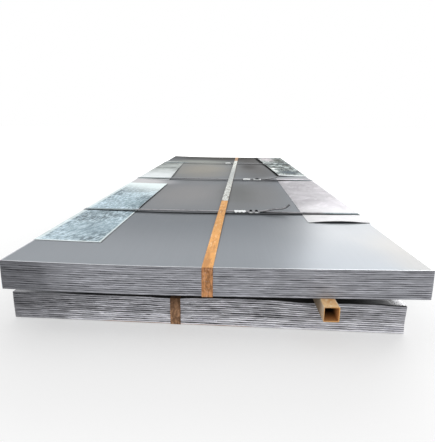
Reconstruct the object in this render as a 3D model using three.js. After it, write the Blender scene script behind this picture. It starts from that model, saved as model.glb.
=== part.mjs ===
import * as THREE from "three";

// Two strapped packs of flat steel plate, one on the other, with square tubes laid between them.
// Millimetres. X runs across the plates, Y along them (front at -Y), Z up, floor at Z = 0.

// Plates
const WIDTH = 1219;
const LENGTH = 3658;
const THICK = 6.35;
const COUNT = 13; // plates in a pack
const STAGGER = 0.8; // how far a plate may lie off the others, each way
const FIT = 0.3; // air left between pieces that rest on each other

// How the plates of the upper pack sag across their width
const SAG_DEPTH = 10.4; // at the lowest, below the left edge
const SAG_RIGHT = 7.9; // at the right edge, below the left edge
const SAG_FLAT_FROM = 512; // the lowest part is flat, between these distances from the left edge
const SAG_FLAT_TO = 756;
const SAG_STEPS = 4; // facets of each flank

// Straps: flat steel strapping
const STRAP_W = 32;
const STRAP_T = 0.9;
const BEND_R = 0.8;
const CROSS_FRONT = 695; // first cross strap, from the front edge
const CROSS_MIDDLE = -80; // second, from the middle of the length
const CROSS_BACK = 786; // third, from the back edge
const LONG_X = 592; // upper long strap where it crosses the front edge, from the left edge
const LONG_LEAN = 129; // how far it leans to the right by the back edge
const LONG_LOWER_X = 524; // lower long strap, from the left edge

// Zinc coated length lying on the upper long strap
const ZINC_FROM = 244; // from the first cross strap
const ZINC_TO = 274; // beyond the third

// Strap seals and the lap under them
const SEAL_LONG = 50;
const SEAL_WALL = 1;
const LAP_PAST = 8; // inner strap end past the first seal
const LAP_RAMP = 20; // length in which the outer end climbs on the inner one
const SEALS = [
  { first: 697, second: 758 }, // seal centres on each cross strap, from the left edge
  { first: 764, second: 837 },
  { first: 622 },
];
// Free strap ends: points as distance past the last seal and height over the strap
const TAILS = [
  [[30, 6], [66, 14], [100, 16], [118, 23], [132, 36]],
  [[30, 2], [66, 7], [100, 14], [120, 21], [134, 30]],
  [[12, 0.8]],
];

// Sheet metal edge covers: reach in from the edge, and ends along the plates
const COVER_T = 1.2;
const COVER_DOWN = 70; // flange down the side
const COVER_REACH = { leftFront: 223, leftRear: 223, rightFront: 248, rightRear: 204 };
const COVER_TAPER = { leftFront: 18, leftRear: -42, rightFront: -10, rightRear: 76 };
const COVER_STEPS = 3; // facets between two bends of the plate under a cover
const LEFT_FRONT_START = 208; // from the front edge
const LEFT_FRONT_LONG = 1306;
const LEFT_REAR_START = 40; // before the second cross strap
const LEFT_REAR_END = 128; // beyond the third
const RIGHT_FRONT_START = 157; // before the first
const RIGHT_FRONT_END = 92; // beyond the second
const RIGHT_REAR_START = 235; // beyond the second
const RIGHT_REAR_END = 91; // from the back edge
const COVER_BOW = 7; // height of the bowed front end of the right front cover
const COVER_LIFT = 8; // height of the lifted inner edge of the right rear cover
const LEFT_LIFT = 5; // and of the left ones

// Lower pack: how it lies under the upper one
const LOWER_TURN = -2.38; // degrees about Z
const LOWER_LEFT = -36; // its front left corner, from the upper pack's
const LOWER_BACK = 108;

// Square tube spacers
const TUBE = 45;
const TUBE_WALL = 3;
const TUBE_R = 4.5;
const TUBE_LONG = 3500;
const TUBE_LEFT_X = 360; // centre of the left tube, from the left edge
const TUBE_RIGHT_X = 286; // centre of the right tube, from the right edge
const TUBE_OUT = 50; // how far the right tube stands out of the front
const TUBE_IN = 130; // how far the left tube stops short of it

const fromLeft = (d) => d - WIDTH / 2;
const fromRight = (d) => WIDTH / 2 - d;
const EDGE = STAGGER + FIT; // clear of every plate in a pack
const LAYER = STRAP_T + FIT;
const PACK_H = COUNT * THICK + (COUNT - 1) * FIT;
const LOWER_Z = 2 * LAYER; // underside of the lower pack's bottom plate
const TUBE_Z = LOWER_Z + PACK_H + 2 * LAYER + FIT; // underside of the tubes
const UPPER_Z = TUBE_Z + TUBE + FIT + LAYER + tubeSag(); // underside at the left edge
const UPPER_TOP = UPPER_Z + PACK_H;
const SLOPE = -SAG_RIGHT / WIDTH; // of the line from edge to edge that the cross straps follow
const CROSS_AT = [
  -LENGTH / 2 + CROSS_FRONT,
  CROSS_MIDDLE,
  LENGTH / 2 - CROSS_BACK,
];

const COLORS = {
  plate: "#83878c",
  rust: "#c27c3e",
  darkRust: "#9b6d42",
  zinc: "#b7bcbb",
  strap: "#8c8f91",
  seal: "#b9bbbb",
  tube: "#b5854f",
};

const group = new THREE.Group();

// ---- helpers ---------------------------------------------------------------

// Corner points [x, drop] of the sagged plates' section.
function sagPoints() {
  const flank = (x0, x1, d0, d1) => {
    const points = [];
    for (let i = 0; i < SAG_STEPS; i++) {
      const s = i / SAG_STEPS;
      points.push([x0 + (x1 - x0) * s, d1 + (d0 - d1) * (1 - s) ** 1.7]);
    }
    return points;
  };
  const [a, b] = [fromLeft(SAG_FLAT_FROM), fromLeft(SAG_FLAT_TO)];
  return [
    ...flank(-WIDTH / 2, a, 0, SAG_DEPTH),
    [a, SAG_DEPTH],
    [b, SAG_DEPTH],
    ...flank(WIDTH / 2, b, SAG_RIGHT, SAG_DEPTH).slice(1).reverse(),
    [WIDTH / 2, SAG_RIGHT],
  ];
}

function sagAt(x) {
  const points = sagPoints();
  for (let i = 1; i < points.length; i++) {
    const [a, da] = points[i - 1];
    const [b, db] = points[i];
    if (x <= b) return da + ((Math.max(x, a) - a) / (b - a)) * (db - da);
  }
  return SAG_RIGHT;
}

// The most that the upper pack drops over either tube.
function tubeSag() {
  const half = TUBE / 2;
  const spots = [fromLeft(TUBE_LEFT_X), fromRight(TUBE_RIGHT_X)];
  return Math.max(...spots.flatMap((x) => [sagAt(x - half), sagAt(x), sagAt(x + half)]));
}

// Small fixed offsets, so that the plates of a pack don't line up exactly.
const stagger = (i, k) => STAGGER * Math.sin(12.9898 * (i + 1) + 78.233 * k);

// Points of a path moved sideways to its left by d, with mitred corners.
function offsetPath(path, d, closed = false) {
  const n = path.length;
  const left = (p, q) => {
    const len = Math.hypot(q[0] - p[0], q[1] - p[1]);
    return [-(q[1] - p[1]) / len, (q[0] - p[0]) / len];
  };
  return path.map((p, i) => {
    const before = i > 0 || closed ? left(path[(i + n - 1) % n], p) : null;
    const after = i < n - 1 || closed ? left(p, path[(i + 1) % n]) : null;
    const a = before || after;
    const b = after || before;
    const k = d / (1 + a[0] * b[0] + a[1] * b[1]);
    return [p[0] + (a[0] + b[0]) * k, p[1] + (a[1] + b[1]) * k];
  });
}

// Points round a centre, between two directions in degrees.
function arc(cx, cz, r, from, to, steps = 3) {
  const points = [];
  for (let i = 0; i <= steps; i++) {
    const a = ((from + ((to - from) * i) / steps) * Math.PI) / 180;
    points.push([cx + r * Math.cos(a), cz + r * Math.sin(a)]);
  }
  return points;
}

function rectangle(a0, b0, a1, b1) {
  return [[a0, b0], [a1, b0], [a1, b1], [a0, b1]];
}

function extrude(outline, depth, hole, basis) {
  const shape = new THREE.Shape(outline.map(([a, b]) => new THREE.Vector2(a, b)));
  if (hole) shape.holes.push(new THREE.Path(hole.map(([a, b]) => new THREE.Vector2(a, b))));
  const g = new THREE.ExtrudeGeometry(shape, { depth, bevelEnabled: false });
  const [x, y, z] = basis.map((v) => new THREE.Vector3(...v));
  return g.applyMatrix4(new THREE.Matrix4().makeBasis(x, y, z));
}

// An X-Z outline run along Y from y0, or a Y-Z outline run along X from x0.
const alongY = (outline, y0, depth, hole) =>
  extrude(outline, depth, hole, [[1, 0, 0], [0, 0, 1], [0, -1, 0]]).translate(0, y0 + depth, 0);
const alongX = (outline, x0, depth, hole) =>
  extrude(outline, depth, hole, [[0, 1, 0], [0, 0, 1], [1, 0, 0]]).translate(x0, 0, 0);

// A bent strip of sheet or strap. Each station holds two lists of [x, y, z] points, the two faces
// of the strip, matched point by point; the stations run across the strip's width. Both faces
// are split along the same diagonals, so that they never cross where the strip twists.
function strip(stations, closed = false) {
  const flat = [];
  const n = stations[0].under.length;
  const quad = (a, b, c, d) => flat.push(...a, ...b, ...c, ...a, ...c, ...d);
  const steps = closed ? n : n - 1;
  const first = stations[0];
  const last = stations[stations.length - 1];
  for (let i = 0; i < steps; i++) {
    const j = (i + 1) % n;
    quad(first.under[i], first.under[j], first.over[j], first.over[i]);
    quad(last.under[j], last.under[i], last.over[i], last.over[j]);
    for (let s = 1; s < stations.length; s++) {
      const [p, q] = [stations[s - 1], stations[s]];
      quad(p.under[j], p.under[i], q.under[i], q.under[j]);
      quad(p.over[j], q.over[j], q.over[i], p.over[i]);
    }
  }
  for (let s = 1; s < stations.length && !closed; s++) {
    const [p, q] = [stations[s - 1], stations[s]];
    quad(p.under[0], p.over[0], q.over[0], q.under[0]);
    quad(p.over[n - 1], p.under[n - 1], q.under[n - 1], q.over[n - 1]);
  }
  return faceOut(flat);
}

// Turns the triangles over when they enclose a negative volume.
function faceOut(flat) {
  const [a, b, c] = [new THREE.Vector3(), new THREE.Vector3(), new THREE.Vector3()];
  let volume = 0;
  for (let i = 0; i < flat.length; i += 9) {
    volume += a.fromArray(flat, i).dot(b.fromArray(flat, i + 3).cross(c.fromArray(flat, i + 6)));
  }
  for (let i = 0; i < flat.length && volume < 0; i += 9) {
    for (let k = 3; k < 6; k++) [flat[i + k], flat[i + k + 3]] = [flat[i + k + 3], flat[i + k]];
  }
  const g = new THREE.BufferGeometry();
  g.setAttribute("position", new THREE.Float32BufferAttribute(flat, 3));
  g.computeVertexNormals();
  return g;
}

// A strap along an X-Z path centred on y, or along a Y-Z path centred on x.
function strapAcross(path, y, closed = false) {
  const other = offsetPath(path, STRAP_T, closed);
  const at = (v) => ({
    under: path.map(([x, z]) => [x, v, z]),
    over: other.map(([x, z]) => [x, v, z]),
  });
  return strip([at(y - STRAP_W / 2), at(y + STRAP_W / 2)], closed);
}

function strapAlong(path, x, closed = false) {
  const other = offsetPath(path, STRAP_T, closed);
  const at = (v) => ({
    under: path.map(([y, z]) => [v, y, z]),
    over: other.map(([y, z]) => [v, y, z]),
  });
  return strip([at(x - STRAP_W / 2), at(x + STRAP_W / 2)], closed);
}

// x gains xy * y, and z gains zx * x.
function shear(geometry, { xy = 0, zx = 0 }) {
  const m = new THREE.Matrix4();
  m.set(1, xy, 0, 0, 0, 1, 0, 0, zx, 0, 1, 0, 0, 0, 0, 1);
  return geometry.applyMatrix4(m);
}

function add(name, geometry, color, parent = group) {
  const rusty = color === COLORS.rust || color === COLORS.darkRust || color === COLORS.tube;
  const material = new THREE.MeshStandardMaterial({
    name,
    color,
    metalness: rusty ? 0.2 : 0.6,
    roughness: rusty ? 0.8 : 0.5,
  });
  const mesh = new THREE.Mesh(geometry, material);
  mesh.name = name;
  parent.add(mesh);
}

const number = (i) => String(i + 1).padStart(2, "0");

// ---- upper pack ------------------------------------------------------------

function upperPlates() {
  for (let i = 0; i < COUNT; i++) {
    const base = UPPER_Z + i * (THICK + FIT);
    const under = sagPoints().map(([x, drop]) => [x, base - drop]);
    const over = under.map(([x, z]) => [x, z + THICK]).reverse();
    const plate = alongY([...under, ...over], -LENGTH / 2 + stagger(i, 1), LENGTH);
    add("upper_plate_" + number(i), plate, COLORS.plate);
  }
}

// Where the sagged plate changes slope under a cover that reaches at least this far in.
function kneesUnder(side, reach) {
  const edge = side * (WIDTH / 2);
  const xs = sagPoints().map(([x]) => x);
  const under = xs.filter((x) => (edge - x) * side > 1 && (edge - x) * side < reach - 1);
  return side < 0 ? under.reverse() : under;
}

// The list with each gap between neighbours cut into equal steps.
function refine(list, steps) {
  const between = (a, b) => Array.from({ length: steps }, (_, i) => a + ((b - a) * i) / steps);
  return [...list.slice(1).flatMap((b, i) => between(list[i], b)), list[list.length - 1]];
}

// One section of an edge cover: it lies on the top plate from `reach` inside the edge, or stands
// off it by lift(part of the way in), and turns down the side.
function coverPath(side, reach, knees, lift) {
  const edge = side * (WIDTH / 2);
  const inner = edge - side * reach;
  const across = refine([inner, ...knees, edge], COVER_STEPS);
  const top = across.map((x) => [x, UPPER_TOP - sagAt(x) + FIT + lift((edge - x) / (edge - inner))]);
  const [x, z] = [side * (WIDTH / 2 + EDGE), top[top.length - 1][1]];
  const bend = arc(x - side * BEND_R, z - BEND_R, BEND_R, 90, side < 0 ? 180 : 0);
  const path = [...top.slice(0, -1), ...bend, [x, z - COVER_DOWN]];
  return { under: path, over: offsetPath(path, side * COVER_T) };
}

// stations: [y, lift] from front to back; the reach changes by `taper` from the first to the last
function cover(name, side, reach, taper, stations, color) {
  const [y0, y1] = [stations[0][0], stations[stations.length - 1][0]];
  const knees = kneesUnder(side, Math.min(reach, reach + taper));
  const sections = stations.map(([y, lift]) => {
    const reachAt = reach + (taper * (y - y0)) / (y1 - y0);
    const { under, over } = coverPath(side, reachAt, knees, lift);
    const at = ([x, z]) => [x, y, z];
    return { under: under.map(at), over: over.map(at) };
  });
  add(name, strip(sections), color);
}

const lies = () => 0;
const crown = (h) => (s) => h * Math.sin(Math.PI * s);
const raised = (h) => (s) => h * s * s;

function covers() {
  const [first, second, third] = CROSS_AT;
  const [front, back] = [-LENGTH / 2, LENGTH / 2];
  const hold = STRAP_W / 2 + 4; // a lifted cover lies flat this far from the middle of a strap
  const reach = COVER_REACH;
  const taper = COVER_TAPER;
  cover("cover_left_front", -1, reach.leftFront, taper.leftFront, [
    [front + LEFT_FRONT_START, lies],
    [first + hold, lies],
    [first + 6 * hold, raised(LEFT_LIFT)],
    [front + LEFT_FRONT_START + LEFT_FRONT_LONG, raised(LEFT_LIFT / 2)],
  ], "#a8bac0");
  cover("cover_left_rear", -1, reach.leftRear, taper.leftRear, [
    [second - LEFT_REAR_START, lies],
    [second + hold, lies],
    [(second + third) / 2, raised(LEFT_LIFT)],
    [third - hold, lies],
    [third + LEFT_REAR_END, lies],
  ], "#98a3a3");
  cover("cover_right_front", 1, reach.rightFront, taper.rightFront, [
    [first - RIGHT_FRONT_START, crown(COVER_BOW)],
    [first - RIGHT_FRONT_START / 2, crown(COVER_BOW / 2)],
    [first - hold, lies],
    [second + RIGHT_FRONT_END, lies],
  ], "#b3b4b7");
  cover("cover_right_rear", 1, reach.rightRear, taper.rightRear, [
    [second + RIGHT_REAR_START, raised(COVER_LIFT)],
    [third - 6 * hold, raised(COVER_LIFT)],
    [third - hold, lies],
    [third + hold, lies],
    [third + 6 * hold, raised(COVER_LIFT)],
    [back - RIGHT_REAR_END, raised(COVER_LIFT)],
  ], "#6d7b7a");
}

// Height of the cross straps' underside over the covers, where X is 0.
const CROSS_Z = UPPER_TOP - SAG_RIGHT / 2 + 2 * FIT + COVER_T;

// The sides and underside of a cross strap, from the top right bend round to the top left one,
// with both top edges brought to one height.
function crossRound() {
  const x = WIDTH / 2 + EDGE + COVER_T + FIT;
  const low = (at) => UPPER_Z - sagAt(at) - FIT - SLOPE * at;
  const bottom = sagPoints().map(([at]) => [at, low(at)]).slice(1, -1).reverse();
  return [
    ...arc(x - BEND_R, CROSS_Z - BEND_R, BEND_R, 90, 0),
    ...arc(x - BEND_R, low(WIDTH / 2) + BEND_R, BEND_R, 0, -90),
    ...bottom,
    ...arc(-x + BEND_R, low(-WIDTH / 2) + BEND_R, BEND_R, -90, -180),
    ...arc(-x + BEND_R, CROSS_Z - BEND_R, BEND_R, 180, 90),
  ];
}

// A cross strap is one open strip: its inner end lies under the first seal, and its outer end
// climbs on it and leaves the last seal as a free tail.
function crossStraps() {
  SEALS.forEach(({ first, second }, i) => {
    const centres = [first, second].filter((d) => d !== undefined).map(fromLeft);
    const innerEnd = centres[0] - SEAL_LONG / 2 - LAP_PAST;
    const leave = centres[centres.length - 1] + SEAL_LONG / 2;
    const path = [
      [innerEnd, CROSS_Z],
      ...crossRound(),
      [innerEnd - LAP_PAST - LAP_RAMP, CROSS_Z],
      [innerEnd - LAP_PAST, CROSS_Z + LAYER],
      [leave, CROSS_Z + LAYER],
      ...TAILS[i].map(([past, h]) => [leave + past, CROSS_Z + LAYER + h]),
    ];
    const strap = shear(strapAcross(path, CROSS_AT[i]), { zx: SLOPE });
    add("upper_cross_strap_" + (i + 1), strap, COLORS.strap);
    centres.forEach((x, k) => {
      const name = "seal_" + (i + 1) + (centres.length > 1 ? "ab"[k] : "");
      add(name, shear(seal(x, CROSS_AT[i]), { zx: SLOPE }), COLORS.seal);
    });
  });
}

function seal(x, y) {
  const half = STRAP_W / 2 + FIT;
  const [low, high] = [CROSS_Z - FIT, CROSS_Z + LAYER + STRAP_T + FIT];
  const t = SEAL_WALL;
  const inner = rectangle(y - half, low, y + half, high);
  const outer = rectangle(y - half - t, low - t, y + half + t, high + t);
  return alongX(outer, x - SEAL_LONG / 2, SEAL_LONG, inner);
}

// The upper long strap runs over the cross straps and leans across the pack, and a zinc coated
// length lies on the middle of it.
function upperLongStrap() {
  const lean = LONG_LEAN / LENGTH;
  const x = fromLeft(LONG_X + LONG_LEAN / 2);
  const top = UPPER_TOP - SAG_DEPTH + FIT;
  const low = UPPER_Z - SAG_DEPTH - FIT - LAYER;
  const y = LENGTH / 2 + EDGE;
  const wide = STRAP_W / 2;
  const over = CROSS_AT.flatMap((at) => {
    const z = CROSS_Z + SLOPE * (x + lean * at) + LAYER;
    return [[at - wide, z], [at + wide, z]];
  });
  const path = [
    ...over,
    ...arc(y - BEND_R, top - BEND_R, BEND_R, 90, 0),
    ...arc(y - BEND_R, low + BEND_R, BEND_R, 0, -90),
    ...arc(-y + BEND_R, low + BEND_R, BEND_R, -90, -180),
    ...arc(-y + BEND_R, top - BEND_R, BEND_R, 180, 90),
  ];
  add("upper_long_strap", shear(strapAlong(path, x, true), { xy: lean }), COLORS.rust);

  const line = [...over, [y - BEND_R, top]];
  const heightAt = (a) => {
    const k = line.findIndex((p) => p[0] >= a);
    const [p, q] = [line[k - 1], line[k]];
    return p[1] + ((a - p[0]) / (q[0] - p[0])) * (q[1] - p[1]);
  };
  const [from, to] = [CROSS_AT[0] + ZINC_FROM, CROSS_AT[2] + ZINC_TO];
  const laid = [
    [from, heightAt(from)],
    ...over.filter(([a]) => a > from && a < to),
    [to, heightAt(to)],
  ];
  const zinc = strapAlong(offsetPath(laid, LAYER), x);
  add("upper_strap_zinc_length", shear(zinc, { xy: lean }), COLORS.zinc);
}

// ---- lower pack ------------------------------------------------------------

function lowerPack() {
  const pack = new THREE.Group();
  pack.rotation.z = THREE.MathUtils.degToRad(LOWER_TURN);
  const middle = new THREE.Vector3(WIDTH / 2, LENGTH / 2, 0).applyEuler(pack.rotation);
  pack.position.set(LOWER_LEFT - WIDTH / 2, LOWER_BACK - LENGTH / 2, 0).add(middle);
  group.add(pack);
  for (let i = 0; i < COUNT; i++) {
    const z = LOWER_Z + i * (THICK + FIT);
    const outline = rectangle(-WIDTH / 2, z, WIDTH / 2, z + THICK);
    const plate = alongY(outline, -LENGTH / 2 + stagger(i, 2), LENGTH);
    add("lower_plate_" + number(i), plate.translate(stagger(i, 3), 0, 0), COLORS.plate, pack);
  }
  const [low, high] = [LOWER_Z - FIT, LOWER_Z + PACK_H + FIT];
  const long = strapAlong(bandPath(LENGTH / 2 + EDGE, low, high), fromLeft(LONG_LOWER_X), true);
  add("lower_long_strap", long, COLORS.darkRust, pack);
  CROSS_AT.forEach((at, i) => {
    const strap = strapAcross(bandPath(WIDTH / 2 + EDGE, low - LAYER, high + LAYER), at, true);
    add("lower_cross_strap_" + (i + 1), strap, COLORS.strap, pack);
  });
}

// The inside of a plain band round a pack, clockwise from the top right.
function bandPath(half, low, high) {
  return [
    ...arc(half - BEND_R, high - BEND_R, BEND_R, 90, 0),
    ...arc(half - BEND_R, low + BEND_R, BEND_R, 0, -90),
    ...arc(-half + BEND_R, low + BEND_R, BEND_R, -90, -180),
    ...arc(-half + BEND_R, high - BEND_R, BEND_R, 180, 90),
  ];
}

// ---- spacers ---------------------------------------------------------------

function roundedSquare(x, z, size, r) {
  const h = size / 2 - r;
  return [
    ...arc(x + h, z + h, r, 0, 90),
    ...arc(x - h, z + h, r, 90, 180),
    ...arc(x - h, z - h, r, 180, 270),
    ...arc(x + h, z - h, r, 270, 360),
  ];
}

function tubes() {
  const z = TUBE_Z + TUBE / 2;
  for (const [name, x, y] of [
    ["tube_right", fromRight(TUBE_RIGHT_X), -LENGTH / 2 - TUBE_OUT],
    ["tube_left", fromLeft(TUBE_LEFT_X), -LENGTH / 2 + TUBE_IN],
  ]) {
    const outer = roundedSquare(x, z, TUBE, TUBE_R);
    const inner = roundedSquare(x, z, TUBE - 2 * TUBE_WALL, TUBE_R - TUBE_WALL);
    add(name, alongY(outer, y, TUBE_LONG, inner), COLORS.tube);
  }
}

upperPlates();
covers();
crossStraps();
upperLongStrap();
lowerPack();
tubes();

// the origin is the middle of the bounding box, on the floor
const box = new THREE.Box3().setFromObject(group);
group.position.set(-(box.min.x + box.max.x) / 2, -(box.min.y + box.max.y) / 2, 0);

export default group;
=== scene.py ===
"""Two strapped packs of steel plate on square tube spacers, dressed over their CAD frame."""

import math

import bmesh
import bpy
from bpy.props import FloatProperty, FloatVectorProperty, IntProperty, PointerProperty
from mathutils import Matrix, Vector


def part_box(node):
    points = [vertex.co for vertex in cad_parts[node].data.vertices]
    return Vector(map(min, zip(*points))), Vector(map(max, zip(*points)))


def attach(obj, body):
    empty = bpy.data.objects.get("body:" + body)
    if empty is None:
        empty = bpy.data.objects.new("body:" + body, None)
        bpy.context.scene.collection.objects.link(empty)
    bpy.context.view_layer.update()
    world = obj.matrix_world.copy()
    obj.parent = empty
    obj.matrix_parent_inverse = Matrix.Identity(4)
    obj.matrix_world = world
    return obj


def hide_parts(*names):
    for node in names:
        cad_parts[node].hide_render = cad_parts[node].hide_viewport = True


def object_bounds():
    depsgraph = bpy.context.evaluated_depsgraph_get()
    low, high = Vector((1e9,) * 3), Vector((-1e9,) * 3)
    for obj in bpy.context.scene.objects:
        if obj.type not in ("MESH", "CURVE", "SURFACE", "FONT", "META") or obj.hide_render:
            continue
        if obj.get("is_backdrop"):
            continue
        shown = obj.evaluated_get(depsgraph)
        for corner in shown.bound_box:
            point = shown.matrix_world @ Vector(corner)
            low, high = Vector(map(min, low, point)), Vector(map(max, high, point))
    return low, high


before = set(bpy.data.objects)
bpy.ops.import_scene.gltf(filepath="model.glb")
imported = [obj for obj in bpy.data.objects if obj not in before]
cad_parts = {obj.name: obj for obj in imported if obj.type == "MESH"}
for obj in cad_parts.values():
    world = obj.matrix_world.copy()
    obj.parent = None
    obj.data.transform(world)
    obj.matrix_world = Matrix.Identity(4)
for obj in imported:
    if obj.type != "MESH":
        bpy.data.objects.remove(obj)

bl_info = {
    "name": "Strapped Steel Plates",
    "version": (1, 0, 0),
    "blender": (4, 5, 0),
    "location": "View3D > Sidebar > Plates",
    "description": "Two strapped packs of steel plate on square tube spacers",
    "category": "Add Mesh",
}

PLATES = 13
UPPER = ["upper_plate_%02d" % (i + 1) for i in range(PLATES)]
LOWER = ["lower_plate_%02d" % (i + 1) for i in range(PLATES)]
CAD_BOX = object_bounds()

# across the lower pack, from its middle: the strap that holds it down, and the swells beside
# it as (place, half width, share of the swell)
HELD_AT = -0.108
SWELLS = ((0.13, 0.20, 1.0), (0.48, 0.12, 0.5))

# the lower pack has its own noise, and its lips open wider than those of the upper pack
LOWER_SEED = 40.0
LOWER_GAPS = 1.6

# power of the curve by which a sagged plate rises to its edges
SAG_POWER = 1.7

# farther out than this share of a plate's width or length, a point is on its rim
RIM = 0.4999

# patches on a top face are centred at its height and reach down through the whole stack
TOP = 0.23
LOWER_TOP = 0.09
DEEP = 9.0

STRAP_WIDE = 0.032

# crimps along a seal, sections that its sleeve is made of, and its corner radius
CRIMPS = 3
SECTIONS = 56
SEAL_CORNER = 0.0014

# how far the bump of each finish stands up
PLATE_BUMP = 0.00012
ZINC_BUMP = 0.0005
RUST_BUMP = 0.0003
STRAP_BUMP = 0.0002

# defaults of vector and colour sockets
ORIGIN = (0, 0, 0)
STEEL = (0.3, 0.31, 0.33, 1)


# ---- helpers for node trees ----


class Value:
    """What a node gives out; a sum, a product or the like of it adds one more node."""

    def __init__(self, net, socket):
        self.net, self.socket = net, socket

    def __add__(self, other):
        return self.net.math("ADD", self, other)

    def __sub__(self, other):
        return self.net.math("SUBTRACT", self, other)

    def __rsub__(self, other):
        return self.net.math("SUBTRACT", other, self)

    def __mul__(self, other):
        return self.net.math("MULTIPLY", self, other)

    def __truediv__(self, other):
        return self.net.math("DIVIDE", self, other)

    def __gt__(self, limit):
        return self.net.math("GREATER_THAN", self, limit)

    def __abs__(self):
        return self.net.math("ABSOLUTE", self)

    __radd__, __rmul__ = __add__, __mul__


class Net:
    """Adds nodes to one tree and joins them; place is the position its effects read."""

    def __init__(self, tree, place=None):
        self.tree, self.place = tree, place

    def add(self, kind, inputs=None, **settings):
        node = self.tree.nodes.new(kind)
        for name, value in settings.items():
            setattr(node, name, value)
        for key, value in (inputs or {}).items():
            self.feed(node.inputs[key], value)
        return node

    def get(self, kind, inputs=None, output=0, **settings):
        """Adds a node and gives one of its outputs."""
        return Value(self, self.add(kind, inputs, **settings).outputs[output])

    def feed(self, socket, value):
        """Links or sets a socket; a colour of three numbers gets its alpha."""
        if isinstance(value, Value):
            self.tree.links.new(value.socket, socket)
        elif socket.type == "RGBA" and len(value) == 3:
            socket.default_value = (*value, 1.0)
        else:
            socket.default_value = value

    def use(self, tree, **values):
        """Places a shader group and gives its outputs; underscores stand for spaces."""
        node = self.add("ShaderNodeGroup", {"Vector": self.place}, node_tree=tree)
        for name, value in values.items():
            self.feed(node.inputs[name.replace("_", " ")], value)
        return [Value(self, socket) for socket in node.outputs]

    def math(self, operation, a, b=0.0, clamp=False):
        return self.get("ShaderNodeMath", {0: a, 1: b}, operation=operation, use_clamp=clamp)

    def larger(self, a, b):
        return self.math("MAXIMUM", a, b)

    def lerp(self, share, a, b):
        """The number a moved towards b by share."""
        return a + share * (b - a)

    def between(self, value, low, high, start=0.0, end=1.0):
        """A smooth step of value from low to high, given out from start to end."""
        limits = {0: value, 1: low, 2: high, 3: start, 4: end}
        return self.get("ShaderNodeMapRange", limits, interpolation_type="SMOOTHSTEP")

    def mix(self, factor, a, b, blend="MIX"):
        colours = {0: factor, 6: a, 7: b}
        return self.get("ShaderNodeMix", colours, 2, data_type="RGBA", blend_type=blend)

    def tone(self, colour, value):
        """The colour made lighter or darker by a number."""
        return self.mix(1.0, colour, self.join(value, value, value), "MULTIPLY")

    def vector(self, operation, a, b=ORIGIN):
        return self.get("ShaderNodeVectorMath", {0: a, 1: b}, operation=operation)

    def length(self, vector):
        return self.get("ShaderNodeVectorMath", {0: vector}, 1, operation="LENGTH")

    def stretch(self, vector, factors):
        return self.vector("MULTIPLY", vector, factors)

    def split(self, vector):
        node = self.add("ShaderNodeSeparateXYZ", {0: vector})
        return [Value(self, socket) for socket in node.outputs]

    def join(self, x, y, z):
        return self.get("ShaderNodeCombineXYZ", {0: x, 1: y, 2: z})

    def noise(self, vector, scale, detail=2.0, roughness=0.5, distortion=0.0):
        values = {"Vector": vector, "Scale": scale, "Detail": detail}
        values.update({"Roughness": roughness, "Distortion": distortion})
        return self.get("ShaderNodeTexNoise", values)

    def attribute(self, name):
        return self.get("ShaderNodeAttribute", None, "Fac", attribute_name=name)

    def normal(self):
        """The X, Y and Z of the surface normal."""
        return self.split(self.get("ShaderNodeNewGeometry", None, "Normal"))


def socket_kind(default):
    """The kind of socket that a default belongs to; None stands for a material."""
    if isinstance(default, tuple):
        return "Vector" if len(default) == 3 else "Color"
    return {float: "Float", int: "Int"}.get(type(default), "Material")


def shared(name, outputs, kind="ShaderNodeTree", **inputs):
    """Makes a node group of a function, which gets the inputs and gives the outputs in order.

    Inputs are names, with underscores for spaces, and their defaults; outputs are names.
    """

    def build(effect):
        tree = bpy.data.node_groups.new(name, kind)
        for key, default in inputs.items():
            label, socket = key.replace("_", " "), "NodeSocket" + socket_kind(default)
            item = tree.interface.new_socket(name=label, in_out="INPUT", socket_type=socket)
            if default is not None:
                item.default_value = default
        for label in outputs.split():
            socket = "NodeSocket" + (label if label in ("Color", "Geometry") else "Float")
            tree.interface.new_socket(name=label, in_out="OUTPUT", socket_type=socket)
        net = Net(tree)
        given = net.add("NodeGroupInput").outputs[: len(inputs)]
        made = effect(net, *[Value(net, socket) for socket in given])
        for socket, value in zip(net.add("NodeGroupOutput").inputs, made):
            net.feed(socket, value)
        return tree

    return build


def finish_material(name, build, metallic=0.0, gloss=0.0):
    """A material whose build(net) gives its colour, roughness, height and bump distance.

    A build may give a fifth value, which takes the place of metallic.
    """
    material = bpy.data.materials.new(name)
    material.use_nodes = True
    net = Net(material.node_tree)
    net.place = net.get("ShaderNodeTexCoord", None, "Object")
    colour, rough, height, distance, *metal = build(net)
    shader = material.node_tree.nodes["Principled BSDF"]
    for key, value in (
        ("Base Color", colour),
        ("Roughness", rough),
        ("Metallic", metal[0] if metal else metallic),
        ("Specular IOR Level", gloss),
        ("Normal", net.get("ShaderNodeBump", {"Height": height, "Distance": distance})),
    ):
        net.feed(shader.inputs[key], value)
    return material


# ---- effects shared by the finishes ----


@shared(
    "Mill Finish", "Color Roughness Height",
    Vector=ORIGIN, Color=STEEL, Cloud=0.1, Streak=0.05,
)
def mill(net, place, colour, cloudy, streaky):
    """Cloudy tone and fine rolling streaks of mill finished steel."""
    cloud = net.noise(net.stretch(place, (2.4, 1.1, 2.4)), 1.0, 4.0, 0.55, 0.4)
    streak = net.noise(net.stretch(place, (160, 2.2, 60)), 1.0, 3.0, 0.6)
    grain = net.noise(place, 420.0, 2.0, 0.6)
    tone = (cloud - 0.5) * cloudy + (streak - 0.5) * streaky + (grain - 0.5) * 0.04 + 1.0
    rough = net.between(cloud, 0.25, 0.75, -0.02, 0.05)
    return net.tone(colour, tone), rough, streak * 0.6 + grain * 0.4


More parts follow.
